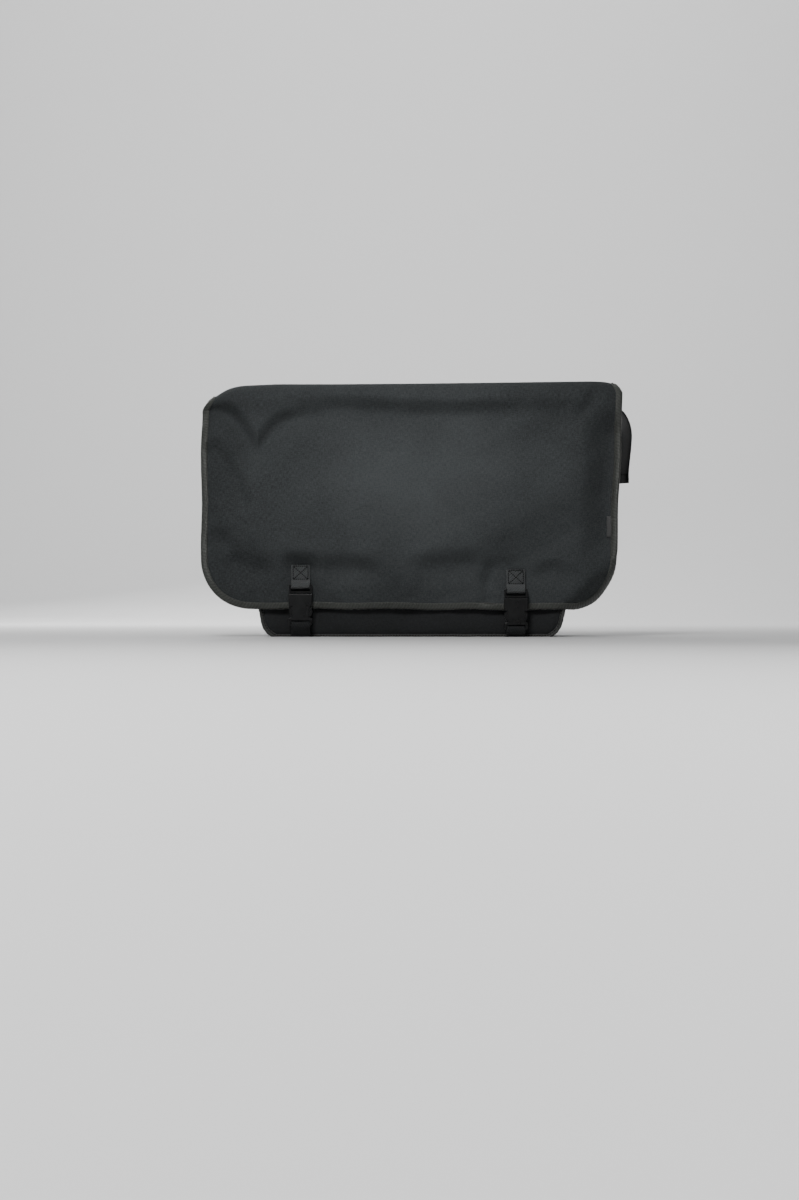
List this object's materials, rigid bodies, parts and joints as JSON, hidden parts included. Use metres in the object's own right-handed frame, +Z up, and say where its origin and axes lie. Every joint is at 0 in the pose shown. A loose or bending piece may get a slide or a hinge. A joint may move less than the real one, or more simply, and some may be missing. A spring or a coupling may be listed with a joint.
{
  "type": "messenger bag",
  "caption": "Wide black canvas messenger bag with a full front flap, taped edges, two side-release buckles and a webbing shoulder strap hung behind.",
  "frame": {"origin": "on the resting plane, in the middle of the base panel", "axes": "+X to the right of someone facing the flap, the flap faces -Y, +Z up"},
  "size_m": [0.5834, 0.2496, 0.3389],
  "materials": {
    "canvas": "matte",
    "binding_tape": "matte",
    "lining": "matte",
    "webbing": "matte",
    "buckle_plastic": "satin",
    "black_metal": "satin",
    "steel": "satin",
    "stiffener": "matte",
    "foam": "matte",
    "label_cloth": "matte"
  },
  "bodies": {
    "bag_body": {"front_panel": "canvas", "back_panel": "canvas", "base_panel": "canvas", "left_gusset": "canvas", "right_gusset": "canvas", "base_board": "stiffener", "back_pad": "foam", "liner": "lining", "inner_pocket": "lining", "mouth_binding": "binding_tape", "front_seam_binding": "binding_tape", "back_seam_binding": "binding_tape", "left_base_strap": "webbing", "right_base_strap": "webbing", "left_buckle_socket": "buckle_plastic", "right_buckle_socket": "buckle_plastic", "left_anchor_patch": "canvas", "right_anchor_patch": "canvas", "left_strap_anchor": "webbing", "right_strap_anchor": "webbing"},
    "flap_top": {"flap_top_panel": "canvas", "flap_top_lining": "lining", "flap_top_left_binding": "binding_tape", "flap_top_right_binding": "binding_tape"},
    "flap_front": {"flap_front_panel": "canvas", "flap_front_lining": "lining", "flap_front_binding": "binding_tape", "side_label": "label_cloth", "left_flap_tab": "webbing", "right_flap_tab": "webbing", "left_buckle_plug": "buckle_plastic", "right_buckle_plug": "buckle_plastic"},
    "left_buckle_left_prong_body": {"left_buckle_left_prong": "buckle_plastic"},
    "left_buckle_right_prong_body": {"left_buckle_right_prong": "buckle_plastic"},
    "right_buckle_left_prong_body": {"right_buckle_left_prong": "buckle_plastic"},
    "right_buckle_right_prong_body": {"right_buckle_right_prong": "buckle_plastic"},
    "shoulder_strap_body": {"strap_ring": "black_metal", "shoulder_strap": "webbing", "strap_tail": "webbing", "cam_frame": "black_metal", "cam_pin": "steel"},
    "cam_lever_body": {"cam_lever": "buckle_plastic"}
  },
  "joints": [
    {"name": "flap_lift", "type": "hinge", "parent": "bag_body", "child": "flap_top", "pos_m": [0, 0.0981, 0.3311], "axis": [-1, 0, 0], "range_deg": [0, 180]},
    {"name": "flap_fold", "type": "hinge", "parent": "flap_top", "child": "flap_front", "pos_m": [0, -0.0855, 0.339], "axis": [-1, 0, 0], "range_deg": [0, 180]},
    {"name": "left_buckle_left_prong_squeeze", "type": "hinge", "parent": "flap_front", "child": "left_buckle_left_prong_body", "pos_m": [-0.1576, -0.1085, 0.0564], "axis": [0, -1, 0], "range_deg": [0, 9], "stiffness_Nm_per_rad": 0.05},
    {"name": "left_buckle_right_prong_squeeze", "type": "hinge", "parent": "flap_front", "child": "left_buckle_right_prong_body", "pos_m": [-0.1384, -0.1085, 0.0564], "axis": [0, 1, 0], "range_deg": [0, 9], "stiffness_Nm_per_rad": 0.05},
    {"name": "right_buckle_left_prong_squeeze", "type": "hinge", "parent": "flap_front", "child": "right_buckle_left_prong_body", "pos_m": [0.1284, -0.1085, 0.0504], "axis": [0, -1, 0], "range_deg": [0, 9], "stiffness_Nm_per_rad": 0.05},
    {"name": "right_buckle_right_prong_squeeze", "type": "hinge", "parent": "flap_front", "child": "right_buckle_right_prong_body", "pos_m": [0.1476, -0.1085, 0.0504], "axis": [0, 1, 0], "range_deg": [0, 9], "stiffness_Nm_per_rad": 0.05},
    {"name": "strap_swing", "type": "hinge", "parent": "bag_body", "child": "shoulder_strap_body", "pos_m": [0, 0.118, 0.298], "axis": [-1, 0, 0], "range_deg": [-150, 0]},
    {"name": "cam_release", "type": "hinge", "parent": "shoulder_strap_body", "child": "cam_lever_body", "pos_m": [0.215, 0.121, 0.276], "axis": [1, 0, 0], "range_deg": [0, 70], "stiffness_Nm_per_rad": 0.1}
  ],
  "couplings": [
    {"joint": "left_buckle_right_prong_squeeze", "follows": "left_buckle_left_prong_squeeze", "ratio": 1},
    {"joint": "right_buckle_right_prong_squeeze", "follows": "right_buckle_left_prong_squeeze", "ratio": 1}
  ]
}
